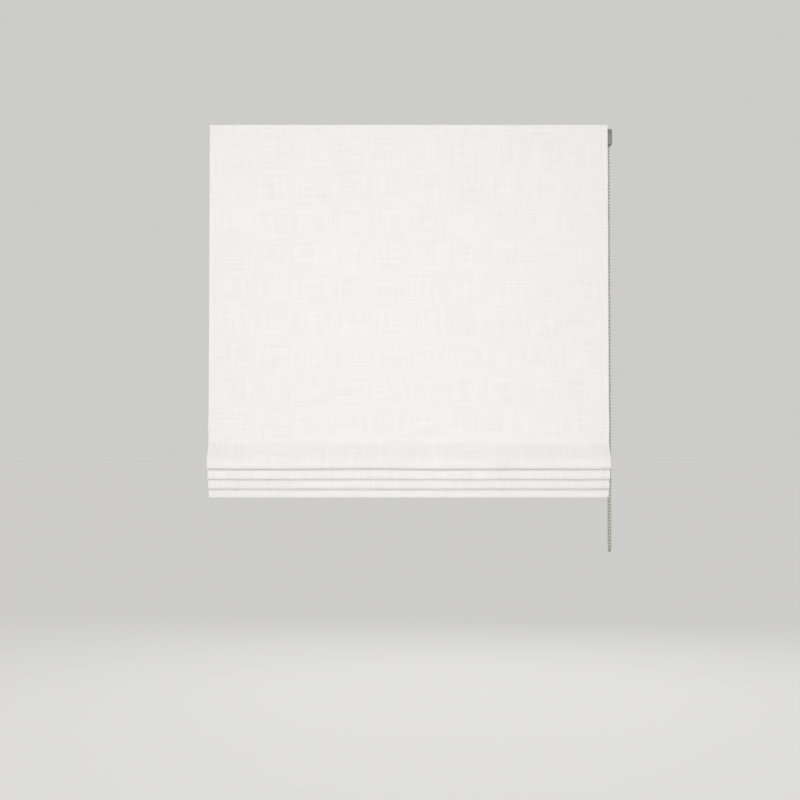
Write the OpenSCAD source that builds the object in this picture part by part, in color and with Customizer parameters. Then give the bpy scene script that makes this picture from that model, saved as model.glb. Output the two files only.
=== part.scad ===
// Roman blind with a bead chain drive, hanging three folds up from its full drop.
// X runs across the window, Y into it and Z up. The origin lies on the ceiling
// plane of the brackets, midway between their two screw holes.

/* [Shade cloth] */
// Width of the cloth
cloth_w = 740; // [600:10:1600]
// Thickness of the cloth
cloth_t = 1; // [0.8:0.1:1.1]
// Height of the turn-over behind the top edge
turn_over = 38; // [34:1:44]
// Gap between the ceiling and the top edge
top_gap = 1; // [1:0.5:5]
// Drop from the top edge to the first rod's stitch line
first_drop = 143; // [90:1:260]
// Distance between stitch lines along the cloth
rod_spacing = 110; // [104:1:180]
// Rods that hang at their full spacing
hanging_rods = 5; // [1:1:6]
// Rods that are gathered in the stack
gathered_rods = 3; // [1:1:4]
// Height that each gathered rod adds to the stack
stack_pitch = 17; // [16:0.5:24]
// Cloth that the lean and the rounding of a fold take up
lean_take_up = 9; // [5:1:20]
// Width of a fold's rounded lower lip, between the middles of its two layers
lip_width = 7; // [5:0.5:8]
// Height of that lip's rounding
lip_h = 10; // [6:0.5:12]
// Gap between the middles of the layers of neighbouring folds, at their lips
lip_gap = 2; // [1.8:0.1:4]
// How far the last fold's lip stands in front of the flat cloth
last_lip = 4; // [3:0.5:12]
// How far the cloth bellies out in the bay above the stack
belly = 5; // [0:0.5:8]
// How far the hem hangs behind the flat cloth
hem_set_back = 6; // [4:0.5:7]
// Height of the hem pocket
hem_h = 30; // [24:1:36]

/* [Rods and hem bar] */
// Diameter of a rod
rod_d = 4; // [3:0.5:5]
// Distance from a rod's end to the cloth's side edge
rod_inset = 5; // [3:1:20]
// Wall of a sewn rod pocket
pocket_wall = 0.6; // [0.4:0.1:0.8]
// Height of a rod pocket's seam above its rod
pocket_seam = 6; // [5:0.5:8]
// Thickness of the hem bar
bar_t = 2.5; // [1.5:0.5:4]
// Height of the hem bar
bar_h = 26; // [20:1:28]

/* [Head rail] */
// Distance from the rail's ends to the cloth's side edges
rail_inset = 3; // [2:0.5:6]
// Depth of the rail, front to back
rail_depth = 26; // [25:1:34]
// Height of the rail
rail_h = 32; // [30:1:44]
// Wall of the rail
rail_wall = 1.4; // [1:0.1:1.8]
// Width of the inward lips along the open underside
rail_lip = 2.2; // [1:0.1:2.4]
// Width of the outward ribs that the brackets grip
rail_rib = 1.6; // [1.2:0.1:2.5]
// Thickness of the hook strip
hook_t = 1.6; // [1:0.1:2]
// Height of the hook and loop strips
strip_h = 20; // [14:1:24]
// Thickness of the left end cap
cap_t = 3; // [3:0.5:8]
// Length of the end cap's and the control unit's plugs in the rail
plug_l = 14; // [10:1:24]

/* [Brackets] */
// Distance between the two brackets
bracket_spacing = 520; // [300:10:540]
// Width of a bracket
bracket_w = 22; // [16:1:30]
// Thickness of the bracket steel
bracket_t = 1.2; // [1:0.1:1.6]
// Diameter of the screw hole
screw_d = 4.5; // [3.5:0.5:6]
// Room for the screw's head above the rail
head_gap = 2.8; // [2:0.1:4]
// Length of the release tab at the back
release_tab = 8; // [5:1:12]

/* [Lift drive] */
// Distance between the outer lift cords
cord_spread = 560; // [300:10:600]
// Diameter of a lift cord
cord_d = 1.4; // [1:0.1:1.6]
// Radius at which the cord winds on its drum
wrap_r = 8; // [7:0.1:8.4]
// Turns of cord on each drum
cord_turns = 9; // [4:1:12]
// Length of a drum between its flanges
drum_l = 36; // [34:1:60]
// Thickness of a drum's flanges
flange_t = 1.2; // [1:0.1:2]
// Radius of a drum's journals
journal_r = 5.5; // [5:0.1:6]
// Wall of a drum cradle
cradle_t = 2.2; // [1.6:0.1:3]
// Width of the hexagonal shaft across its flats
shaft_af = 5; // [4:0.1:6]
// Diameter of a cord lock
lock_d = 7; // [5:0.5:9]
// Length of a cord lock
lock_l = 14; // [10:1:20]
// Bore of a cord eyelet
eyelet_bore = 5; // [4:0.5:6]
// Diameter of an eyelet's wire
eyelet_wire = 2; // [1.6:0.1:2.4]

/* [Bead chain] */
// Diameter of a bead
bead_d = 4.5; // [4:0.1:5]
// Distance between beads
bead_pitch = 6; // [5.6:0.1:6.5]
// Beads round the chain wheel
wheel_beads = 12; // [12:2:14]
// Beads in each straight strand
strand_beads = 127; // [40:1:200]
// Diameter of the chain's cord
chain_cord_d = 1.4; // [1:0.1:1.8]
// Side wall of the chain wheel beside a bead
wheel_wall = 0.95; // [0.8:0.05:1.5]
// Plates of the control housing
plate_t = 2.4; // [2:0.1:3]
// Guard round the chain wheel
guard_t = 1.8; // [1.4:0.1:2.4]
// Wire of the brake spring
spring_wire = 0.8; // [0.6:0.1:0.9]

/* [Clearances] */
// Between pieces that are fixed together
fit = 0.2; // [0.1:0.05:0.25]
// Between pieces that turn or slide
run = 0.4; // [0.3:0.05:0.5]

/* [Hidden] */
$fn = 48;
rods = hanging_rods + gathered_rods;
rod_numbers = [for (i = [1 : rods]) i];
cord_names = ["left", "middle", "right"];

// Heights, from the ceiling down
rail_top = -bracket_t - head_gap;
rail_bottom = rail_top - rail_h;
claw_bottom = rail_top - rail_wall - bracket_t;
strip_top = claw_bottom - bracket_t;
cloth_top = -top_gap;
stitch_z = [for (i = rod_numbers)
    cloth_top - first_drop
    - rod_spacing * (min(i, hanging_rods) - 1)
    - stack_pitch * max(i - hanging_rods, 0)];
stack_z = stitch_z[hanging_rods - 1];
lip_drop = (rod_spacing + stack_pitch - lean_take_up) / 2;
hem_z = stitch_z[rods - 1] - lip_drop;

// The chain wheel and its casing
pitch_r = bead_pitch * wheel_beads / (2 * PI);
guard_r = pitch_r + bead_d / 2 + run;
casing_r = guard_r + guard_t;
wheel_w = bead_d + 2 * wheel_wall;
wheel_r = pitch_r + bead_d / 6;

// Depths, from the middle of the rail to the front
rail_front = -rail_depth / 2;
claw_depth = rail_rib + fit + bracket_t;
cloth_stand = max(claw_depth, casing_r + rail_front) + fit;
turn_back = rail_front - cloth_stand;
cloth_back = turn_back - cloth_t;
cloth_mid = cloth_back - cloth_t / 2;

// The drums and the shaft
drum_room = 1.4;
flange_r = max(rail_depth / 2 - rail_wall - drum_room, wrap_r + cord_d);
axis_z = rail_bottom + rail_wall + 2 * cradle_t + flange_r;
turn_d = cord_d + fit;
core_r = wrap_r - turn_d / 2 - run;
cradle_l = drum_l + 2 * (flange_t + run + cradle_t);
shaft_r = shaft_af / sqrt(3);
cord_y = -wrap_r;
cord_x = [for (i = [-1 : 1]) i * cord_spread / 2];
cord_slot = 3 * cord_d;
lock_grip = 0.8;
lock_taper = 0.3;
saddle_mouth = 0.8;

// The rods and their pockets
pocket_bore = rod_d / 2 + run;
pocket_r = pocket_bore + pocket_wall;
seam_t = 2 * pocket_wall;
rod_y = cloth_back + fit + pocket_r;
rod_z = [for (z = stitch_z) z - pocket_seam];
clip_r = pocket_r + fit;
clip_wall = 1.2;
lock_tip = cord_d / 2 + fit + clip_wall / 3;
clip_w = 3 * eyelet_wire;
eyelet_r = (eyelet_bore + eyelet_wire) / 2;
cord_way = 0.9 * eyelet_bore;
lock_z = rod_z[rods - 1] - eyelet_wire / 2 - fit;
hem_front = cloth_back + hem_set_back;
hem_back = hem_front + bar_t + 2 * fit;

// The ends of the rail and of the control unit
rail_end = cloth_w / 2 - rail_inset;
plate_x = rail_end + plate_t;
chain_x = plate_x + run + wheel_w / 2;
cover_x = chain_x + wheel_w / 2 + run;
spigot_wall = 1.6;
spigot_share = 0.55;
spigot_r = shaft_r + run + spigot_wall;
spigot_l = wheel_w * spigot_share;
spring_r = spigot_r + fit / 2 + spring_wire / 2;
wheel_bore = spring_r + spring_wire / 2 + run;
core_rim = 1.4;
core_plate_r = wheel_bore + core_rim;
core_x = plate_x + run + spigot_l;
lug_w = 3;
lug_l = 1.2;

// Shape of the folds, each layer given as its distance in front of the flat cloth.
// A falling layer leaves its stitch line with just the lean that clears the next
// rod's fold behind it, and ends upright at its own lip.
fold_steps = 14;
lip_steps = 16;
apex_steps = 6;
lip_r = lip_width / 2;
apex_r = cloth_t;
lean_cost = 0.6;
hem_fall = lip_drop - hem_h;
pocket_reach = pocket_seam + 2 * pocket_r;
apex_clear = 2 * apex_r + cloth_t + 2 * fit;

function ease(s) = s * s * (3 - 2 * s);
function lean_out(s) = s * (1 - s) * (1 - s);
function lip_forward(k) = last_lip + (lip_width + lip_gap) * (gathered_rods - k);
// A fold that leans further out takes up more cloth, so its lip hangs higher.
function lip_raise(k) = lean_cost * pow(lip_forward(k) - last_lip, 2) / lip_drop;
function layer_drop(k) = lip_drop - lip_h - lip_raise(k);
function apex_share(k) = (stack_pitch - apex_r) / layer_drop(k);
function lean(k) = max(0, apex_clear - lip_forward(k) * ease(apex_share(k)))
    / lean_out(apex_share(k));
function fall(k, drop) = k > gathered_rods
    ? -hem_set_back * ease(min(1, max(0, drop - pocket_reach) / (hem_fall - pocket_reach)))
    : lean(k) * lean_out(drop / layer_drop(k)) + lip_forward(k) * ease(drop / layer_drop(k));
function fall_layer(k, depth) = [for (i = [0 : fold_steps]) let (drop = depth * i / fold_steps)
    [cloth_mid - fall(k, drop), stack_z - stack_pitch * (k - 1) - drop]];
function lip_arc(k) = [for (i = [1 : lip_steps - 1]) let (a = 180 * i / lip_steps)
    [cloth_mid - lip_forward(k) + lip_r * (1 - cos(a)),
     stack_z - stack_pitch * (k - 1) - layer_drop(k) - lip_h * sin(a)]];
// A rising layer stays at least the fold's own width in front of the next falling one.
function rise_gap(k, s) = 2 * apex_r
    + (lip_forward(k) - lip_width - fall(k + 1, layer_drop(k) - stack_pitch) - 2 * apex_r) * ease(s);
function rise_layer(k) = [for (i = [fold_steps : -1 : 0])
    let (s = i / fold_steps, drop = (layer_drop(k) - stack_pitch) * s)
    [cloth_mid - fall(k + 1, drop) - rise_gap(k, s), stack_z - stack_pitch * k - drop]];
function apex_arc(k) = [for (i = [1 : apex_steps - 1]) let (a = 180 * i / apex_steps)
    [cloth_mid - apex_r * (1 + cos(a)), stack_z - stack_pitch * k + apex_r * sin(a)]];
function fold(k) = concat(fall_layer(k, layer_drop(k)), lip_arc(k), rise_layer(k), apex_arc(k));

// The last flat bay bellies out towards its foot, where the next fold would form.
belly_steps = 20;
bay_h = hanging_rods > 1 ? rod_spacing : first_drop - turn_over;
belly_line = [for (i = [0 : belly_steps - 1]) let (s = i / belly_steps)
    [cloth_mid - belly * pow(sin(180 * pow(s, 3)), 2), stack_z + bay_h * (1 - s)]];

cloth_line = concat(
    [[cloth_mid, cloth_top]],
    belly_line,
    [for (k = [1 : gathered_rods]) each fold(k)],
    fall_layer(gathered_rods + 1, hem_fall),
    [[cloth_mid + hem_set_back, hem_z]]);
last = len(cloth_line) - 1;

function unit(v) = v / norm(v);
function half_cloth(i) = let (
    along = unit(cloth_line[min(i + 1, last)] - cloth_line[max(i - 1, 0)]))
    [-along[1], along[0]] * cloth_t / 2;

// The whole section of the cloth: down its back, with the turn-over and the hem
// pocket, and up its front.
cloth_outline = concat(
    [[turn_back, cloth_top], [turn_back, cloth_top - turn_over],
     [cloth_back, cloth_top - turn_over]],
    [for (i = [1 : last - 1]) cloth_line[i] + half_cloth(i)],
    [[hem_back + cloth_t, hem_z + hem_h], [hem_back + cloth_t, hem_z]],
    [for (i = [last : -1 : 0]) cloth_line[i] - half_cloth(i)]);

// A section drawn in the YZ plane, run from x0 to x1.
module along_x(x0, x1)
    translate([x0, 0, 0])
        rotate([90, 0, 90])
            linear_extrude(x1 - x0)
                children();

// A section drawn as radius and length, turned about the line through y and z.
module turned_x(x, y, z)
    translate([x, y, z])
        rotate([0, 90, 0])
            rotate_extrude()
                children();

module bar_x(x0, x1, y, z, r, sides = $fn)
    translate([x0, y, z])
        rotate([0, 90, 0])
            cylinder(r = r, h = x1 - x0, $fn = sides);

module box(y0, y1, z0, z1)
    translate([y0, z0])
        square([y1 - y0, z1 - z0]);

// Outline of the rail, filled, with the ribs along its top edges.
module rail_outline() {
    box(rail_front, -rail_front, rail_bottom, rail_top);
    box(rail_front - rail_rib, -rail_front + rail_rib, rail_top - rail_wall, rail_top);
}

module head_rail()
    color("whitesmoke")
        along_x(-rail_end, rail_end)
            difference() {
                rail_outline();
                box(rail_front + rail_wall, -rail_front - rail_wall,
                    rail_bottom + rail_wall, rail_top - rail_wall);
                box(rail_front + rail_wall + rail_lip, -rail_front - rail_wall - rail_lip,
                    rail_bottom - 1, rail_bottom + 2 * rail_wall);
            }

module hook_strip()
    color("gainsboro")
        along_x(-rail_end, rail_end)
            box(rail_front - hook_t, rail_front, strip_top - strip_h, strip_top);

module loop_strip()
    color("white")
        along_x(-rail_end, rail_end)
            box(turn_back, rail_front - hook_t, strip_top - strip_h, strip_top);

// Spring steel clip: a ceiling plate, a claw under each rib and a tab to press.
module bracket(x)
    color("lightgray")
        difference() {
            along_x(x - bracket_w / 2, x + bracket_w / 2) {
                box(rail_front - claw_depth, -rail_front + claw_depth, -bracket_t, 0);
                for (front = [0, 1])
                    mirror([front, 0]) {
                        box(-rail_front + claw_depth - bracket_t, -rail_front + claw_depth,
                            claw_bottom, 0);
                        box(-rail_front + fit, -rail_front + claw_depth,
                            claw_bottom, claw_bottom + bracket_t);
                    }
                box(-rail_front + fit, -rail_front + claw_depth + release_tab,
                    claw_bottom, claw_bottom + bracket_t);
            }
            translate([x, 0, -2 * bracket_t])
                cylinder(d = screw_d, h = 3 * bracket_t);
            for (corner = [-1, 1])
                translate([x + corner * bracket_w / 2, -rail_front + claw_depth + release_tab, 0])
                    cylinder(r = bracket_w / 4, h = 4 * rail_h, center = true);
        }

// A plug that fills the rail's inside above its lips, bored for the shaft.
module rail_plug(x0, x1)
    difference() {
        along_x(x0, x1)
            box(rail_front + rail_wall + fit, -rail_front - rail_wall - fit,
                rail_bottom + rail_wall, rail_top - rail_wall - fit);
        bar_x(x0 - 1, x1 + 1, 0, axis_z, shaft_r + run);
    }

module end_cap()
    color("whitesmoke") {
        along_x(-rail_end - cap_t, -rail_end)
            rail_outline();
        rail_plug(-rail_end, -rail_end + plug_l);
    }

// Outline of the casing round the chain wheel, open below for the two strands.
module casing_outline(r) {
    translate([0, axis_z])
        circle(r = r);
    box(-r, r, rail_bottom, axis_z);
}

module control_housing()
    color("gray") {
        difference() {
            along_x(rail_end, plate_x) {
                casing_outline(casing_r);
                rail_outline();
            }
            bar_x(rail_end - 1, plate_x + 1, 0, axis_z, shaft_r + run);
        }
        rail_plug(rail_end - plug_l, rail_end);
        along_x(plate_x, cover_x)
            difference() {
                casing_outline(casing_r);
                casing_outline(guard_r);
                box(-guard_r, guard_r, rail_bottom - 1, axis_z);
            }
        difference() {
            bar_x(plate_x, core_x - run, 0, axis_z, spigot_r);
            bar_x(plate_x - 1, core_x, 0, axis_z, shaft_r + run);
        }
    }

// Outer plate with a boss that keeps the drive core in place.
module control_cover()
    color("gray") {
        along_x(cover_x, cover_x + plate_t)
            difference() {
                casing_outline(casing_r);
                box(-guard_r / 3, guard_r / 3, rail_bottom - 1, rail_bottom + guard_t);
            }
        bar_x(cover_x - run / 2, cover_x, 0, axis_z, spigot_r);
    }

// Sprocket with a cup for each bead, a groove for the cord between them,
// and a recess with two slots that takes the drive core.
module chain_wheel()
    color("gray")
        difference() {
            bar_x(chain_x - wheel_w / 2, chain_x + wheel_w / 2, 0, axis_z, wheel_r);
            bar_x(chain_x - wheel_w, chain_x + wheel_w, 0, axis_z, wheel_bore);
            bar_x(core_x - fit, chain_x + wheel_w, 0, axis_z, core_plate_r + fit);
            translate([core_x - fit, 0, axis_z])
                lugs(wheel_w, lug_w + 2 * fit, core_plate_r + lug_l + fit);
            turned_x(chain_x, 0, axis_z)
                translate([pitch_r - chain_cord_d, -chain_cord_d])
                    square(2 * chain_cord_d);
            for (i = [0 : wheel_beads - 1])
                translate([chain_x, 0, axis_z])
                    rotate([(i + 0.5) * 360 / wheel_beads, 0, 0])
                        translate([0, pitch_r, 0])
                            sphere(d = bead_d + 2 * fit);
        }

// Two lugs across the shaft, from x = 0.
module lugs(length, width, reach)
    translate([0, -width / 2, -reach])
        cube([length, width, 2 * reach]);

module drive_core()
    color("dimgray")
        difference() {
            union() {
                bar_x(core_x, chain_x + wheel_w / 2, 0, axis_z, core_plate_r);
                translate([core_x, 0, axis_z])
                    lugs(chain_x + wheel_w / 2 - core_x, lug_w, core_plate_r + lug_l);
            }
            bar_x(core_x - 1, chain_x + wheel_w, 0, axis_z, shaft_r + fit, 6);
        }

// Wrap spring round the housing's spigot, its turns close together.
module brake_spring()
    color("silver")
        turned_x(plate_x + run / 2, 0, axis_z)
            for (i = [0 : floor((spigot_l - run) / spring_wire) - 2])
                translate([spring_r, (i + 0.5) * (spring_wire - fit / 2)])
                    circle(d = spring_wire);

module drive_shaft()
    color("silver")
        bar_x(-rail_end + plug_l / 3, chain_x + wheel_w / 2, 0, axis_z, shaft_r, 6);

// Cord drum: a smooth core between two flanges, with a journal past each.
module cord_drum(x)
    color("white")
        difference() {
            turned_x(x, 0, axis_z) {
                translate([0, -drum_l / 2])
                    square([core_r, drum_l]);
                for (end = [0, 1])
                    mirror([0, end]) {
                        translate([0, drum_l / 2])
                            square([flange_r, flange_t]);
                        translate([0, drum_l / 2 + flange_t])
                            square([journal_r, run + cradle_t]);
                    }
            }
            bar_x(x - cradle_l, x + cradle_l, 0, axis_z, shaft_r + fit, 6);
        }

// Cradle: a base that rests on the rail's lips, with a snap saddle at each end
// and a slot that lets the cord down.
module drum_cradle(x)
    color("whitesmoke")
        difference() {
            union() {
                along_x(x - cradle_l / 2, x + cradle_l / 2) {
                    box(rail_front + rail_wall + fit, -rail_front - rail_wall - fit,
                        rail_bottom + rail_wall, rail_bottom + rail_wall + cradle_t);
                    box(rail_front + rail_wall + rail_lip + fit,
                        -rail_front - rail_wall - rail_lip - fit,
                        rail_bottom, rail_bottom + rail_wall + cradle_t);
                }
                for (end = [0, 1])
                    translate([x, 0, 0])
                        mirror([end, 0, 0])
                            along_x(cradle_l / 2 - cradle_t, cradle_l / 2)
                                box(-journal_r - cradle_t, journal_r + cradle_t,
                                    rail_bottom + rail_wall, axis_z + journal_r / 2);
            }
            bar_x(x - cradle_l, x + cradle_l, 0, axis_z, journal_r + run);
            translate([x - cradle_l, -journal_r * saddle_mouth, axis_z])
                cube([2 * cradle_l, 2 * journal_r * saddle_mouth, rail_h]);
            translate([x - cord_slot, cord_y - cord_slot / 2, rail_bottom - 1])
                cube([2 * cord_slot, cord_slot, 2 * (rail_wall + cradle_t)]);
        }

// Lift cord: the turns on the drum, and the last turn that leaves it at the front
// and runs down to the lock.
module lift_cord(x)
    color("white") {
        turned_x(x + turn_d + fit, 0, axis_z)
            for (i = [0 : cord_turns - 2])
                translate([wrap_r, i * cord_d])
                    circle(d = turn_d);
        translate([x, 0, axis_z])
            rotate([0, 90, 0])
                rotate([0, 0, -30])
                    rotate_extrude(angle = 300)
                        translate([wrap_r, 0])
                            circle(d = cord_d);
        translate([x, cord_y, lock_z - lock_l * lock_grip])
            cylinder(d = cord_d, h = axis_z - lock_z + lock_l * lock_grip);
    }

// Cord lock below the last rod's eyelet, bored for the cord, its top drawn in to
// pass the eyelet's clip.
module cord_lock(x)
    color("white")
        translate([x, cord_y, lock_z - lock_l])
            rotate_extrude()
                difference() {
                    polygon([[0, 0], [lock_d / 3, 0], [lock_d / 2, lock_d / 4],
                        [lock_d / 2, lock_l * (1 - lock_taper)], [lock_tip, lock_l], [0, lock_l]]);
                    translate([0, lock_l * (1 - lock_grip) - fit])
                        square([cord_d / 2 + fit, lock_l]);
                }

// The cloth is one sheet: the turn-over, the flat fall, the gathered folds, and
// the hem pocket with its room for the bar.
module shade_cloth()
    color([0.945, 0.94, 0.925])
        along_x(-cloth_w / 2, cloth_w / 2)
            difference() {
                polygon(cloth_outline);
                box(hem_front, hem_back, hem_z + cloth_t, hem_z + cloth_t + bar_h + 2 * fit);
            }

module hem_bar()
    color("silver")
        along_x(-cloth_w / 2 + rod_inset, cloth_w / 2 - rod_inset)
            box(hem_front + fit, hem_back - fit, hem_z + cloth_t + fit,
                hem_z + cloth_t + fit + bar_h);

module rod(i)
    color("ivory")
        bar_x(-cloth_w / 2 + rod_inset, cloth_w / 2 - rod_inset, rod_y, rod_z[i - 1], rod_d / 2);

// A tape looped round the rod and sewn to the cloth along its seam.
module rod_pocket(i)
    color("white")
        along_x(-cloth_w / 2 + rod_inset / 2, cloth_w / 2 - rod_inset / 2)
            difference() {
                union() {
                    translate([rod_y, rod_z[i - 1]])
                        circle(r = pocket_r);
                    box(cloth_back + fit / 2, cloth_back + fit / 2 + seam_t,
                        rod_z[i - 1], stitch_z[i - 1]);
                }
                translate([rod_y, rod_z[i - 1]])
                    circle(r = pocket_bore);
            }

// Moulded eyelets, each with a clip that snaps over the rod pocket from behind.
module cord_eyelets(i)
    color("white")
        for (x = cord_x)
            difference() {
                union() {
                    translate([x, cord_y, rod_z[i - 1]])
                        rotate_extrude()
                            translate([eyelet_r, 0])
                                circle(d = eyelet_wire);
                    intersection() {
                        bar_x(x - clip_w / 2, x + clip_w / 2, rod_y, rod_z[i - 1],
                            clip_r + clip_wall);
                        translate([x - clip_w, rod_y - clip_r / 2, rod_z[i - 1] - rod_spacing / 2])
                            cube([2 * clip_w, rail_depth, rod_spacing]);
                    }
                }
                bar_x(x - rail_depth, x + rail_depth, rod_y, rod_z[i - 1], clip_r);
                translate([x, cord_y, rod_z[i - 1] - rod_spacing / 2])
                    cylinder(d = cord_way, h = rod_spacing);
            }

// A straight strand of beads moulded on their cord, from the wheel down.
module strand()
    rotate_extrude()
        intersection() {
            union() {
                for (i = [0 : strand_beads - 1])
                    translate([0, -(i + 0.5) * bead_pitch])
                        circle(d = bead_d);
                translate([-chain_cord_d / 2, -strand_beads * bead_pitch])
                    square([chain_cord_d, strand_beads * bead_pitch]);
            }
            translate([0, -(strand_beads + 1) * bead_pitch])
                square([bead_d, (strand_beads + 2) * bead_pitch]);
        }

// Half a turn of the chain, over the wheel.
module half_turn() {
    rotate([0, 90, 0])
        rotate([0, 0, 90])
            rotate_extrude(angle = 180)
                translate([pitch_r, 0])
                    circle(d = chain_cord_d);
    for (i = [0 : wheel_beads / 2 - 1])
        rotate([(i + 0.5) * 360 / wheel_beads, 0, 0])
            translate([0, pitch_r, 0])
                sphere(d = bead_d);
}

module bead_chain()
    color([0.69, 0.67, 0.61])
        translate([chain_x, 0, axis_z]) {
            half_turn();
            for (y = [-pitch_r, pitch_r])
                translate([0, y, 0])
                    strand();
            translate([0, 0, -strand_beads * bead_pitch])
                mirror([0, 0, 1])
                    half_turn();
        }

head_rail();
hook_strip();
loop_strip();
bracket(-bracket_spacing / 2);  // bracket_left
bracket(bracket_spacing / 2);  // bracket_right
end_cap();
control_housing();
control_cover();
chain_wheel();
drive_core();
brake_spring();
drive_shaft();
shade_cloth();
hem_bar();
bead_chain();
for (i = [0 : len(cord_names) - 1]) {
    cord_drum(cord_x[i]);
    drum_cradle(cord_x[i]);
    lift_cord(cord_x[i]);
    cord_lock(cord_x[i]);
}
for (i = rod_numbers) {
    rod(i);
    rod_pocket(i);
    cord_eyelets(i);
}
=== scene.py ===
from math import cos, pi, radians, sin, tan

import bmesh
import bpy
from mathutils import Matrix, Vector, noise


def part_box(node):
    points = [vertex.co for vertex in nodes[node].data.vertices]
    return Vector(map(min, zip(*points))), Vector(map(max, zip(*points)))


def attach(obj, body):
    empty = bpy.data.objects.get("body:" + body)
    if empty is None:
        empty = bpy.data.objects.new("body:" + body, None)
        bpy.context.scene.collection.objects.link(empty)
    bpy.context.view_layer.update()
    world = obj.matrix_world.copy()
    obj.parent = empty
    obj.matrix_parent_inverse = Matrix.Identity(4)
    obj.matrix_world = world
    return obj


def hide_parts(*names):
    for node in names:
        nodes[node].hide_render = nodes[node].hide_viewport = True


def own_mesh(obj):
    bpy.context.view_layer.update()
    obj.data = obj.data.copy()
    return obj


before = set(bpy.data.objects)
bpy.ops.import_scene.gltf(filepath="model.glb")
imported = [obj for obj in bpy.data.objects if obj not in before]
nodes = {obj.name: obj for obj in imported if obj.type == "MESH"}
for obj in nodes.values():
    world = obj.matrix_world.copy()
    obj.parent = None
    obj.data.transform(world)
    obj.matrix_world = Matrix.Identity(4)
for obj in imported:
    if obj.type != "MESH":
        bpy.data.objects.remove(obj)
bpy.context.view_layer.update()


# The set: one wide pale floor, matt and far enough below the hanging blind to be seen
# from every side. It gives light back as pale paint does, and the camera sees it in the
# shade of the room, so that the skyline hardly shows.
class Shade:
    """One value of a finish. What is written with it in sums and products becomes nodes."""

    def __init__(self, tree, socket=None):
        self.tree = tree
        self.socket = socket

    def node(self, kind, settings=(), out=0, **inputs):
        """A new node's output, after its settings and its sockets, named or as n and their number."""
        made = self.tree.nodes.new(f"ShaderNode{kind}")
        for name, value in dict(settings).items():
            setattr(made, name, value)
        self.feed(made, inputs)
        return Shade(self.tree, made.outputs[out])

    def feed(self, made, inputs):
        """Links or sets the sockets of a node."""
        for name, value in inputs.items():
            number = name.removeprefix("n")
            socket = made.inputs[int(number) if number.isdigit() else name.replace("_", " ")]
            if isinstance(value, Shade):
                self.tree.links.new(value.socket, socket)
            else:
                socket.default_value = value

    def other(self, out):
        """Another output of the node that gives this value."""
        return Shade(self.tree, self.socket.node.outputs[out])

    def math(self, operation, *values):
        return self.node("Math", {"operation": operation}, **{f"n{i}": v for i, v in enumerate(values)})

    def __add__(self, other):
        return self.math("ADD", self, other)

    def __sub__(self, other):
        return self.math("SUBTRACT", self, other)

    def __rsub__(self, other):
        return self.math("SUBTRACT", other, self)

    def __mul__(self, other):
        return self.math("MULTIPLY", self, other)

    def __lt__(self, other):
        return self.math("LESS_THAN", self, other)

    __radd__ = __add__
    __rmul__ = __mul__

    def between(self, low, high):
        """Two colours mixed by this value. The sockets go by number, as their names repeat."""
        return self.node("Mix", {"data_type": "RGBA"}, out=2, n0=self, n6=(*low, 1), n7=(*high, 1))

    def raised(self, height, strength=1.0):
        """A surface normal from this value, as a relief of that height."""
        return self.node("Bump", Height=self, Strength=strength, Distance=height)

    def seen(self):
        """One where the camera looks, straight or by reflection, and nought where light only falls."""
        ways = [self.node("LightPath", out=f"Is {way} Ray") for way in ("Camera", "Glossy", "Transmission")]
        return self.math("MINIMUM", sum(ways), 1.0)

    def noise(self, per_metre, detail=2.0):
        """Cloudy variation from 0 to 1 over these coordinates, with its own scale along each axis."""
        spread = self.node("Mapping", Vector=self, Scale=per_metre)
        return self.node("TexNoise", Vector=spread, Scale=1.0, Detail=detail)


def new_finish(name):
    """A material, its coordinates on the piece and its shader."""
    material = bpy.data.materials.new(name)
    material.use_nodes = True
    root = Shade(material.node_tree)
    return material, root.node("TexCoord", out="Object"), material.node_tree.nodes["Principled BSDF"]


floor_shade = (0.80, 0.797, 0.785)
floor_shade_seen = (0.40, 0.3985, 0.3925)
floor_glow_seen = (0.412, 0.4105, 0.4055)
floor_paint, place, shader = new_finish("floor_paint")
place.feed(shader, {
    "Base_Color": place.seen().between(floor_shade, floor_shade_seen),
    "Roughness": 0.9,
    "Specular_IOR_Level": 0.1,
    "Emission_Color": place.seen().between((0, 0, 0), floor_glow_seen),
    "Emission_Strength": 1.0,
})

floor_z = -1.42
floor_r = 60.0
floor_sides = 96
ground = bmesh.new()
bmesh.ops.create_circle(ground, cap_ends=True, radius=floor_r, segments=floor_sides,
                        matrix=Matrix.Translation((0, 0, floor_z)))


def made_of(name, mesh, *materials):
    """Closes a bmesh into a smooth-shaded object at the origin."""
    data = bpy.data.meshes.new(name)
    mesh.to_mesh(data)
    mesh.free()
    data.shade_smooth()
    for material in materials:
        data.materials.append(material)
    obj = bpy.data.objects.new(name, data)
    bpy.context.scene.collection.objects.link(obj)
    return obj


made_of("floor", ground, floor_paint)


# Light and camera: a broad soft lamp before the blind and a little above it, one behind
# it, a small weak one low in front, and an even room light. The camera looks at the
# blind square on, from a little under its middle.
scene = bpy.context.scene
scene.view_settings.view_transform = "Standard"
room_shade = (1.0, 0.997, 0.985, 1)
room_light = 0.45
room_seen = 0.604
room = bpy.data.worlds.new("room")
scene.world = room
room.use_nodes = True
sky = room.node_tree.nodes["Background"]
look = Shade(room.node_tree)
look.feed(sky, {"Color": room_shade, "Strength": look.seen() * (room_seen - room_light) + room_light})

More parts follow.
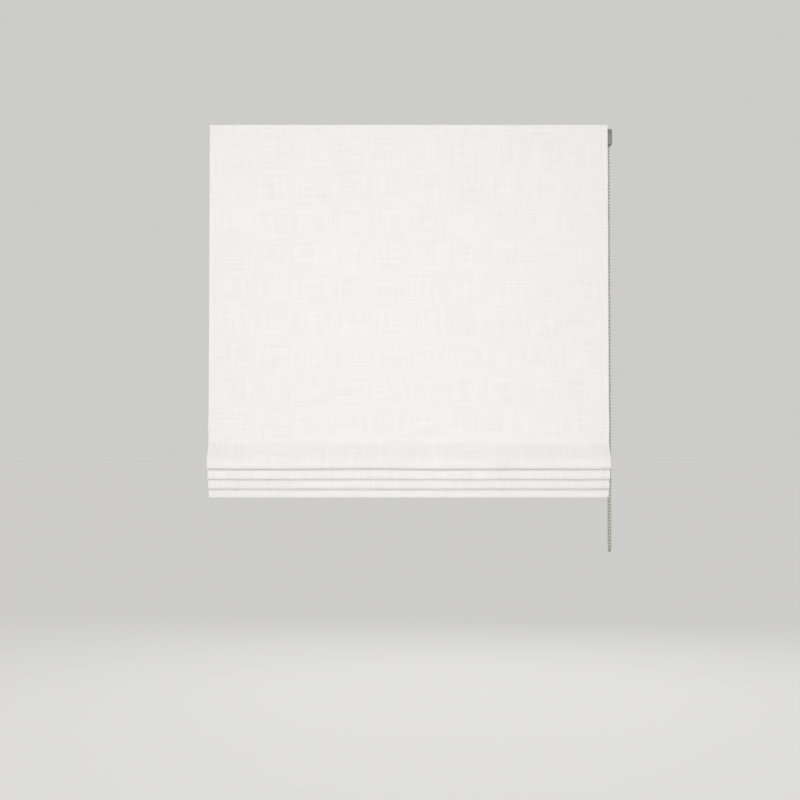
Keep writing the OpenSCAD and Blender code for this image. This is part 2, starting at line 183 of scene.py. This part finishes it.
for name, spot, aim, size, spread, power in (
        ("front_lamp", (-0.4, -3.0, 0.4), (0, 0, -0.45), 2.2, 180, 45),
        ("low_lamp", (0.4, -2.7, -0.75), (0, 0, -0.45), 1.0, 45, 0.8),
        ("back_lamp", (0.3, 2.6, 0.9), (0, 0, -0.4), 2.2, 180, 36)):
    lamp = bpy.data.lights.new(name, "AREA")
    lamp.shape = "SQUARE"
    lamp.size = size
    lamp.spread = radians(spread)
    lamp.energy = power
    holder = bpy.data.objects.new(name, lamp)
    holder.location = spot
    holder.rotation_euler = (Vector(aim) - Vector(spot)).to_track_quat("-Z", "Y").to_euler()
    scene.collection.objects.link(holder)

eye = (-0.0162, -2.518, -0.5837)
view_tilt = radians(1.62)
half_view = radians(16.486)
camera = bpy.data.objects.new("camera", bpy.data.cameras.new("camera"))
camera.data.sensor_width = 36
camera.data.lens = camera.data.sensor_width / 2 / tan(half_view)
camera.location = eye
camera.rotation_euler = (pi / 2 + view_tilt, 0, 0)
scene.collection.objects.link(camera)
scene.camera = camera


# Brackets: two spring clips pressed from zinc-plated steel strip, screwed up into the
# lintel. The drive shaft and the brake spring are of the same bright steel.
def dress(names, material, edge=None):
    """Gives solids of the part their finish, and an eased edge where one is asked for."""
    for name in names:
        node = nodes[name]
        node.data.materials.clear()
        node.data.materials.append(material)
        if edge:
            weld = node.modifiers.new("weld", "WELD")
            weld.merge_threshold = 1e-5
            eased = node.modifiers.new("eased_edge", "BEVEL")
            eased.width = edge
            eased.segments = 2
            eased.limit_method = "ANGLE"
            eased.angle_limit = radians(50)
            eased.harden_normals = True


zinc, place, shader = new_finish("zinc")
flakes = place.node("TexVoronoi", {"feature": "F1"}, out="Color", Vector=place, Scale=420.0)
flake = place.node("SeparateColor", Color=flakes)
handling = place.noise((60, 60, 60), detail=4.0)
place.feed(shader, {
    "Base_Color": (flake * 0.5 + handling * 0.5).between((0.56, 0.57, 0.585), (0.72, 0.72, 0.715)),
    "Metallic": 1.0,
    "Roughness": handling * 0.16 + 0.27,
    "Normal": place.noise((900, 900, 900)).raised(0.00002, 0.5),
})
dress(["bracket_left", "bracket_right"], zinc, edge=0.0002)
dress(["drive_shaft", "brake_spring"], zinc)


# Head rail: a white powder-coated aluminium channel, extruded with its clip ribs, open
# below and cut square at both ends.
powder_coat, place, shader = new_finish("powder_coat")
peel = place.noise((700, 700, 700), detail=1.0)
dust = place.noise((14, 40, 40), detail=4.0)
place.feed(shader, {
    "Base_Color": dust.between((0.80, 0.80, 0.785), (0.88, 0.88, 0.87)),
    "Roughness": peel * 0.12 + 0.36,
    "Coat_Weight": 0.15,
    "Normal": peel.raised(0.00004, 0.6),
})
dress(["head_rail"], powder_coat, edge=0.0003)


# End cap, control unit, drums, cradles, locks and eyelets: injection-moulded white
# plastic with a fine spark-eroded grain. The control unit and its wheel are dark grey.
def moulded(name, dark, light):
    """A moulded plastic between two shades."""
    material, place, shader = new_finish(name)
    grain = place.noise((2600, 2600, 2600), detail=1.0)
    flow = place.noise((90, 90, 30), detail=3.0)
    place.feed(shader, {
        "Base_Color": flow.between(dark, light),
        "Roughness": grain * 0.14 + 0.34,
        "Normal": grain.raised(0.00002, 0.5),
    })
    return material


white_moulding = moulded("white_moulding", (0.80, 0.80, 0.775), (0.87, 0.87, 0.855))
grey_moulding = moulded("grey_moulding", (0.21, 0.21, 0.20), (0.27, 0.27, 0.26))
cap_edge = 0.0004
sides = {"left": -0.280, "middle": 0.0, "right": 0.280}
rods = range(1, 9)
dress(["end_cap"], white_moulding, edge=cap_edge)
dress(["control_housing", "control_cover"], grey_moulding, edge=cap_edge)
for piece in ("cord_drum", "drum_cradle", "cord_lock"):
    dress([f"{piece}_{side}" for side in sides], white_moulding)
dress([f"cord_eyelets_{i}" for i in rods], white_moulding)
dress(["chain_wheel", "drive_core"], grey_moulding)


# Hook strip and loop strip: woven nylon tape, the hooks stuck along the rail's face and
# the loops sewn to the back of the cloth's turn-over, pressed into each other.
def pile_finish(name, tint, tuft):
    """Nylon pile with so many tufts to the metre, with painted shade that darkens it between them."""
    material, place, shader = new_finish(name)
    tufts = place.node("TexVoronoi", Vector=place, Scale=tuft)
    nap_and_shade = place.noise((tuft, tuft, tuft), detail=3.0)
    place.feed(shader, {
        # The darker end of this mix, 0.82 of the tint, is painted shade between the tufts.
        "Base_Color": nap_and_shade.between([0.82 * c for c in tint], tint),
        "Roughness": 0.85,
        "Sheen_Weight": 0.3,
        "Normal": (tufts * 0.7 + nap_and_shade * 0.3).raised(0.0004),
    })
    return material


strip_edge = 0.0004
for name, material in (("hook_strip", pile_finish("hook_nylon", (0.80, 0.80, 0.79), 620.0)),
                       ("loop_strip", pile_finish("loop_nylon", (0.86, 0.86, 0.84), 900.0))):
    low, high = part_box(name)
    strip = bmesh.new()
    bmesh.ops.create_cube(strip, size=1.0)
    bmesh.ops.scale(strip, vec=high - low, verts=strip.verts)
    bmesh.ops.translate(strip, vec=(low + high) / 2, verts=strip.verts)
    bmesh.ops.bevel(strip, geom=strip.edges, offset=strip_edge, affect="EDGES", segments=2, profile=0.5,
                    material=-1)
    tape = made_of(f"{name}_pile", strip, material)
    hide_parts(name)
    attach(tape, "head")


# Lift cords: white braided polyester, wound on the drums, down through the eyelets and
# knotted in the locks. The hanging part shortens as the blind goes up.
axis_z = -0.020
wrap_r = 0.008
cord_r = 0.0007
cord_sides = 8
cord_drop = axis_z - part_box("lift_cord_middle")[0].z
coil_w = 0.0123
coil_turns = 8.75
steps_a_turn = 28
coil_steps = int(coil_turns * steps_a_turn)
fall_steps = 60

strand_turns = 6.0
strand_twist = 900.0
braid, place, shader = new_finish("braid")
lay = place.node("Attribute", {"attribute_name": "lay"}, out="Vector")
round_cord = place.node("SeparateXYZ", Vector=lay)
along_cord = round_cord.other("Y")
right_hand = place.math("SINE", round_cord * strand_turns + along_cord * strand_twist)
left_hand = place.math("SINE", round_cord * strand_turns - along_cord * strand_twist)
strands = right_hand * left_hand
place.feed(shader, {
    "Base_Color": (strands * 0.5 + 0.5).between((0.72, 0.715, 0.69), (0.88, 0.875, 0.855)),
    "Roughness": 0.7,
    "Sheen_Weight": 0.2,
    "Normal": strands.raised(0.00012),
})


def ring(mesh, centre, radius):
    """The edges of a level circle, from which a round cord is drawn."""
    circle = bmesh.ops.create_circle(mesh, radius=radius, segments=cord_sides,
                                     matrix=Matrix.Translation(centre))
    return list(dict.fromkeys(edge for vertex in circle["verts"] for edge in vertex.link_edges))


def draw_down(mesh, rim, depth):
    """Draws an open rim of edges straight down, and gives its new rim."""
    grown = bmesh.ops.extrude_edge_only(mesh, edges=rim)["geom"]
    bmesh.ops.translate(mesh, vec=(0, 0, -depth),
                        verts=[g for g in grown if isinstance(g, bmesh.types.BMVert)])
    return [g for g in grown if isinstance(g, bmesh.types.BMEdge) and len(g.link_faces) == 1]


def angle_round(u, v):
    """The angle at which a point lies round the middle of its circle."""
    return Vector((u, v)).angle_signed(Vector((0, 1)), 0.0)


def lay_along(obj, round_and_along):
    """Keeps how far round and how far along its cord each point lies, for the braid."""
    attribute = obj.data.attributes.new("lay", "FLOAT_VECTOR", "POINT")
    for vertex, value in zip(obj.data.vertices, attribute.data):
        value.vector = (*round_and_along(vertex.co), 0)


for side, x in sides.items():
    leaves = (x, -wrap_r, axis_z)
    coil = bmesh.new()
    bmesh.ops.spin(coil, geom=ring(coil, leaves, cord_r), cent=(x, 0, axis_z), axis=(1, 0, 0),
                   angle=-2 * pi * coil_turns, steps=coil_steps, dvec=(coil_w / coil_steps, 0, 0))
    bmesh.ops.recalc_face_normals(coil, faces=coil.faces)
    wraps = made_of(f"lift_cord_wraps_{side}", coil, braid)
    lay_along(wraps, lambda p: (p.x / cord_r, angle_round(p.y, p.z - axis_z) * wrap_r))
    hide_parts(f"lift_cord_{side}")
    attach(wraps, "head")

    fall = bmesh.new()
    rim = ring(fall, leaves, cord_r)
    for _ in range(fall_steps):
        rim = draw_down(fall, rim, cord_drop / fall_steps)
    bmesh.ops.holes_fill(fall, edges=fall.edges)
    bmesh.ops.recalc_face_normals(fall, faces=fall.faces)
    hanging = made_of(f"lift_cord_fall_{side}", fall, braid)
    lay_along(hanging, lambda p: (angle_round(p.x - x, p.y + wrap_r), p.z))
    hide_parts(f"lift_cord_{side}")
    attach(hanging, "head")
    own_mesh(hanging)


# Rods: pultruded glass fibre, with the fibres running from end to end. Each lies in a
# pocket of woven tape, looped round it and sewn to the back of the cloth.
glass_fibre, place, shader = new_finish("glass_fibre")
fibres = place.noise((6, 2500, 2500), detail=3.0)
place.feed(shader, {
    "Base_Color": fibres.between((0.72, 0.68, 0.56), (0.84, 0.81, 0.71)),
    "Roughness": fibres * 0.2 + 0.28,
    "Normal": fibres.raised(0.00004, 0.5),
})
dress([f"rod_{i}" for i in rods], glass_fibre)

woven_tape, place, shader = new_finish("woven_tape")
ribs = place.node("TexWave", {"bands_direction": "X"}, out="Fac",
                  Vector=place, Scale=480.0, Distortion=0.6, Detail=1.0)
slub = place.noise((1200, 90, 90), detail=3.0)
place.feed(shader, {
    "Base_Color": slub.between((0.78, 0.775, 0.755), (0.88, 0.875, 0.86)),
    "Roughness": 0.82,
    "Sheen_Weight": 0.25,
    "Normal": (ribs * 0.5 + slub * 0.5).raised(0.00015),
})


def sweep(first, last, steps):
    """Angles along an arc, counted in steps of which a half turn has that many."""
    return [pi * i / steps for i in range(first, last + 1)]


def drawn_across(points, half_width, columns):
    """A strip of cloth: a line in the plane of depth and height, run across the blind."""
    strip = bmesh.new()
    line = [strip.verts.new((-half_width, y, z)) for y, z in points]
    edges = [strip.edges.new(pair) for pair in zip(line, line[1:])]
    bmesh.ops.spin(strip, geom=line + edges, cent=(0, 0, 0), axis=(1, 0, 0), angle=0, steps=columns,
                   dvec=(2 * half_width / columns, 0, 0))
    return strip


def thicken(obj, name, thickness):
    """Gives a sheet its wall, half to each side."""
    wall = obj.modifiers.new(name, "SOLIDIFY")
    wall.thickness = thickness
    wall.offset = 0


cloth_back = -0.0172
tape_t = 0.0005
tape_clear = 0.0001
tape_columns = 60
ply_step = 1.1 * tape_t
rod_slack = 0.0004
pocket_half = 0.3675
tape_y = cloth_back + tape_clear + tape_t / 2
rod_bodies = {1: "first_rod", 2: "second_rod", 3: "third_rod", 4: "fourth_rod"}
for i in rods:
    low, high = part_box(f"rod_{i}")
    rod_y = (low.y + high.y) / 2
    rod_z = (low.z + high.z) / 2
    loop_r = (high.y - low.y) / 2 + rod_slack + tape_t / 2
    tape_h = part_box(f"rod_pocket_{i}")[1].z - rod_z
    section = [(tape_y, rod_z + tape_h * share) for share in (1, 0.75, 0.5, 0.25)]
    section += [(rod_y - loop_r * cos(a), rod_z - loop_r * sin(a)) for a in sweep(0, 20, 12)]
    section += [(tape_y + ply_step, rod_z + tape_h * share) for share in (0.75, 1)]
    pocket = made_of(f"rod_tape_{i}", drawn_across(section, pocket_half, tape_columns), woven_tape)
    thicken(pocket, "tape_wall", tape_t)
    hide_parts(f"rod_pocket_{i}")
    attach(pocket, rod_bodies.get(i, "bundle"))


# Hem bar: a flat mill-finish aluminium bar, drawn through a die and cut to length. It
# lies loose in the pocket of the hem and keeps the cloth straight.
mill, place, shader = new_finish("mill_aluminium")
draw_lines = place.noise((8, 1800, 1800), detail=3.0)
place.feed(shader, {
    "Base_Color": draw_lines.between((0.66, 0.665, 0.67), (0.78, 0.78, 0.785)),
    "Metallic": 1.0,
    "Roughness": draw_lines * 0.2 + 0.32,
    "Normal": draw_lines.raised(0.00003, 0.6),
})
dress(["hem_bar"], mill, edge=0.0003)


# Shade cloth: one width of off-white slubby linen. It is turned over at the top, falls
# flat, is gathered in soft folds on its rods, and ends in a hem round the bar.
cloth_half = 0.370
side_turn = 0.0115
seam_in = 0.011
seam_half = 0.0006
stitches_per_metre = 300.0
stitch_share = 0.72
thread_dark = 0.33
thread_pale = 0.67
linen, place, shader = new_finish("linen")
weave = place.node("TexCoord", out="UV")
warp = weave.noise((270, 16, 1))
weft = weave.noise((14, 270, 1))
fine_warp = weave.noise((1300, 60, 1), detail=1.0)
fine_weft = weave.noise((60, 1300, 1), detail=1.0)
cloud = weave.noise((9, 9, 1))
threads = (warp + weft) * 0.38 + (fine_warp + fine_weft) * 0.07 + cloud * 0.10
relief = (warp + weft + fine_warp + fine_weft) * 0.25
across = weave.node("SeparateXYZ", Vector=weave)
down = across.other("Y")
from_side = cloth_half - across.math("ABSOLUTE", across)
turned = from_side < side_turn
seam = from_side.math("ABSOLUTE", from_side - seam_in) < seam_half
stitch = seam * (down.math("FRACT", down * stitches_per_metre) < stitch_share)
tone = threads.node("MapRange", Value=threads, n1=thread_dark, n2=thread_pale)
place.feed(shader, {
    "Base_Color": (tone - stitch * 0.35).between((0.830, 0.821, 0.797), (0.920, 0.914, 0.897)),
    "Roughness": 0.88,
    "Specular_IOR_Level": 0.25,
    "Sheen_Weight": 0.12,
    "Normal": (relief + turned * 0.15 - seam * 0.3 + stitch * 0.25).raised(0.00035, 0.55),
})

cloth_mid = -0.0177
cloth_t = 0.0009
cloth_top = -0.0003
turn_over = 0.038
turn_r = 0.0005
turn_rows = 5
panel_top = -0.045
panel_rows = 49
stack_z = -0.584
rod_spacing = 0.110
belly = 0.005
stack_pitch = 0.017
folds = 3
lip_width = 0.007
lip_gap = 0.002
last_lip = 0.004
lip_drop = 0.059
lip_h = 0.010
lip_r = lip_width / 2
lean_cost = 0.6
apex_r = 0.001
apex_clear = 0.0034
hem_set_back = 0.006
hem_h = 0.030
hem_fall = lip_drop - hem_h
pocket_reach = 0.012


def ease(s):
    """From nought to one, slow at both ends."""
    return s * s * (3 - 2 * s)


def lean_out(s):
    """A lean that is strongest near the top of a layer and gone at its lip."""
    return s * (1 - s) ** 2


def belly_forward(z):
    """How far the last flat bay bellies out, at a height."""
    share = max(0, 1 - (z - stack_z) / rod_spacing)
    return belly * sin(pi * share ** 3) ** 2


def lip_forward(k):
    """How far a fold's lip stands before the flat cloth."""
    return last_lip + (lip_width + lip_gap) * (folds - k)


def layer_drop(k):
    """How far a fold falls to its lip. One that leans further out has its lip higher."""
    return lip_drop - lip_h - lean_cost * (lip_forward(k) - last_lip) ** 2 / lip_drop


def fall_forward(k, drop):
    """How far a falling layer stands before the flat cloth, at a drop below its stitch line."""
    if k > folds:
        return -hem_set_back * ease(min(1, max(0, drop - pocket_reach) / (hem_fall - pocket_reach)))
    over = (stack_pitch - apex_r) / layer_drop(k)
    lean = max(0, apex_clear - lip_forward(k) * ease(over)) / lean_out(over)
    s = drop / layer_drop(k)
    return lean * lean_out(s) + lip_forward(k) * ease(s)


def falling(k, depth, steps=18):
    """A layer from its stitch line down."""
    top = stack_z - stack_pitch * (k - 1)
    return [(cloth_mid - fall_forward(k, drop), top - drop)
            for drop in (depth * i / steps for i in range(steps + 1))]


def fold_line(k, rise_steps=14):
    """One fold: down to its lip, round it, up behind, and over the next rod's stitch line."""
    top = stack_z - stack_pitch * (k - 1)
    line = falling(k, layer_drop(k))
    line += [(cloth_mid - lip_forward(k) + lip_r * (1 - cos(a)), top - layer_drop(k) - lip_h * sin(a))
             for a in sweep(1, 15, 16)]
    rise = layer_drop(k) - stack_pitch
    spread = lip_forward(k) - lip_width - fall_forward(k + 1, rise) - 2 * apex_r
    line += [(cloth_mid - fall_forward(k + 1, rise * s) - 2 * apex_r - spread * ease(s),
              top - stack_pitch - rise * s)
             for s in (i / rise_steps for i in range(rise_steps, -1, -1))]
    line += [(cloth_mid - apex_r * (1 + cos(a)), top - stack_pitch + apex_r * sin(a)) for a in sweep(1, 5, 6)]
    return line


def plumb(y, start, end, steps=4):
    """Points along a straight wall of cloth, after its first."""
    return [(y, start + (end - start) * i / steps) for i in range(1, steps + 1)]


bar_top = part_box("hem_bar")[1]
bar_slack = 0.0002
tuck_in = 0.0012
tuck_up = 0.003
hem_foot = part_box("shade_cloth")[0].z + cloth_t / 2
hem_y = cloth_mid + hem_set_back
hem_rear = bar_top.y + bar_slack + cloth_t / 2
hem_r = (hem_rear - hem_y) / 2
hem_turn = hem_foot + hem_r
hem_end = (hem_y + tuck_in, bar_top.z + tuck_up)

header = [(cloth_mid + 2 * turn_r, cloth_top - turn_over * (1 - i / turn_rows)) for i in range(turn_rows)]
header += [(cloth_mid + turn_r * (1 + cos(a)), cloth_top - turn_r * (2 - sin(a))) for a in sweep(0, 6, 6)]
header += plumb(cloth_mid, cloth_top, panel_top)
panel = [(cloth_mid - belly_forward(z), z)
         for z in (panel_top + (stack_z - panel_top) * i / panel_rows for i in range(panel_rows + 1))]
stack = [point for k in range(1, folds + 1) for point in fold_line(k)]
stack += falling(folds + 1, hem_fall)
stack += plumb(hem_y, stack[-1][1], hem_turn)
stack += [(hem_y + hem_r * (1 - cos(a)), hem_turn - hem_r * sin(a)) for a in sweep(1, 8, 8)]
stack += plumb(hem_rear, hem_turn, bar_top.z)
stack += [hem_end]

bay_wave = 0.0009
fold_wave = 0.09
lip_ripple = 0.05
wave_across = 3.1
wave_down = 2.2
long_ripple = 6.0
short_ripple = 15.0


def soft(p):
    """Where a point of the drawn cloth hangs once the cloth's small waves are in it.

    The plain numbers only choose where each noise is cut.
    """
    between_rods = sin(pi * (p.z - stack_z) / rod_spacing) ** 2 if stack_z < p.z < panel_top else 0
    forward = max(0.0, cloth_mid - p.y)
    wave = 0.5 + 0.5 * noise.noise((p.x * wave_across, 5.0, p.z * wave_down))
    ripple = noise.noise((p.x * long_ripple, 9.0, 2.0))
    ripple += 0.5 * noise.noise((p.x * short_ripple, 3.0, 7.0))
    return Vector((p.x,
                   p.y - bay_wave * between_rods * wave - fold_wave * forward * wave,
                   p.z + lip_ripple * forward * ripple))


cloth_columns = 80
stack_rods = ["rod_5", "rod_6", "rod_7", "rod_8"]
length_before = 0
for name, line, body, held, rests_on in (("cloth_header", header, "head", "hung", ["loop_strip_pile"]),
                                         ("cloth_panel", panel, "head", "hung", ["loop_strip_pile"]),
                                         ("cloth_folds", stack, "bundle", "gathered", stack_rods)):
    sheet = drawn_across(line, cloth_half, cloth_columns)
    reach = [length_before]
    for (y0, z0), (y1, z1) in zip(line, line[1:]):
        reach.append(reach[-1] + Vector((y1 - y0, z1 - z0)).length)
    length_before = reach[-1]
    uv = sheet.loops.layers.uv.new("weave")
    sheet.verts.index_update()
    for face in sheet.faces:
        for corner in face.loops:
            corner[uv].uv = (corner.vert.co.x, reach[corner.vert.index % len(line)])
    for vertex in sheet.verts:
        vertex.co = soft(vertex.co)
    for edge in sheet.edges:
        edge.smooth = not edge.is_boundary
    cloth = made_of(name, sheet, linen)
    thicken(cloth, "cloth_wall", cloth_t)
    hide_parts("shade_cloth")
    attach(cloth, body)
    if name == "cloth_panel":
        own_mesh(cloth)


# Bead chain: beige plastic beads moulded on a polyester cord, joined in one endless loop
# that hangs from the wheel at the right. The half turn over the wheel is its own piece.
bead_plastic, place, shader = new_finish("bead_plastic")
tint = place.noise((160, 160, 160))
place.feed(shader, {
    "Base_Color": tint.between((0.39, 0.365, 0.30), (0.47, 0.445, 0.375)),
    "Roughness": tint * 0.12 + 0.2,
    "Coat_Weight": 0.2,
})
chain_x = 0.373
chain_r = 0.0114592
bead_r = 0.00225
bead_pitch = 0.006
strand_beads = 127
turn_beads = 6
turn_steps = 24
route_steps = 30
chain_drop = strand_beads * bead_pitch
chain_foot = axis_z - chain_drop
neck_r = 0.0007


def bead(mesh, centre):
    """One moulded ball."""
    ball = bmesh.ops.create_icosphere(mesh, subdivisions=2, radius=bead_r, matrix=Matrix.Translation(centre))
    return ball["verts"]


def half_turn(mesh, height, up):
    """The beads and cord from one strand to the other, over the top or under the bottom."""
    for i in range(turn_beads):
        turn = pi * (i + 0.5) / turn_beads
        bead(mesh, (chain_x, -chain_r * cos(turn), height + up * chain_r * sin(turn)))
    bmesh.ops.spin(mesh, geom=ring(mesh, (chain_x, -chain_r, height), neck_r), cent=(chain_x, 0, height),
                   axis=(1, 0, 0), angle=-up * pi, steps=turn_steps)


loop = bmesh.new()
for y in (-chain_r, chain_r):
    first = bead(loop, (chain_x, y, axis_z - bead_pitch / 2))
    faces = dict.fromkeys(face for vertex in first for face in vertex.link_faces)
    bmesh.ops.spin(loop, geom=list(faces), cent=(0, 0, 0), axis=(0, 0, 1), angle=0, steps=strand_beads - 1,
                   dvec=(0, 0, -bead_pitch), use_duplicate=True)
    draw_down(loop, ring(loop, (chain_x, y, axis_z), neck_r), chain_drop)
half_turn(loop, chain_foot, -1)
bmesh.ops.remove_doubles(loop, verts=loop.verts, dist=1e-6)
bmesh.ops.recalc_face_normals(loop, faces=loop.faces)
chain = made_of("bead_chain_loop", loop, bead_plastic)
crown = bmesh.new()
half_turn(crown, axis_z, 1)
bmesh.ops.recalc_face_normals(crown, faces=crown.faces)
over_wheel = made_of("bead_chain_over_wheel", crown, bead_plastic)
route = [(chain_x, -chain_r, axis_z - chain_drop * i / route_steps) for i in range(route_steps)]
route += [(chain_x, -chain_r * cos(a), chain_foot - chain_r * sin(a)) for a in sweep(0, 16, 16)]
route += [(chain_x, chain_r, chain_foot + chain_drop * i / route_steps) for i in range(1, route_steps + 1)]
for piece in (chain, over_wheel):
    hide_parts("bead_chain")
    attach(piece, "head")
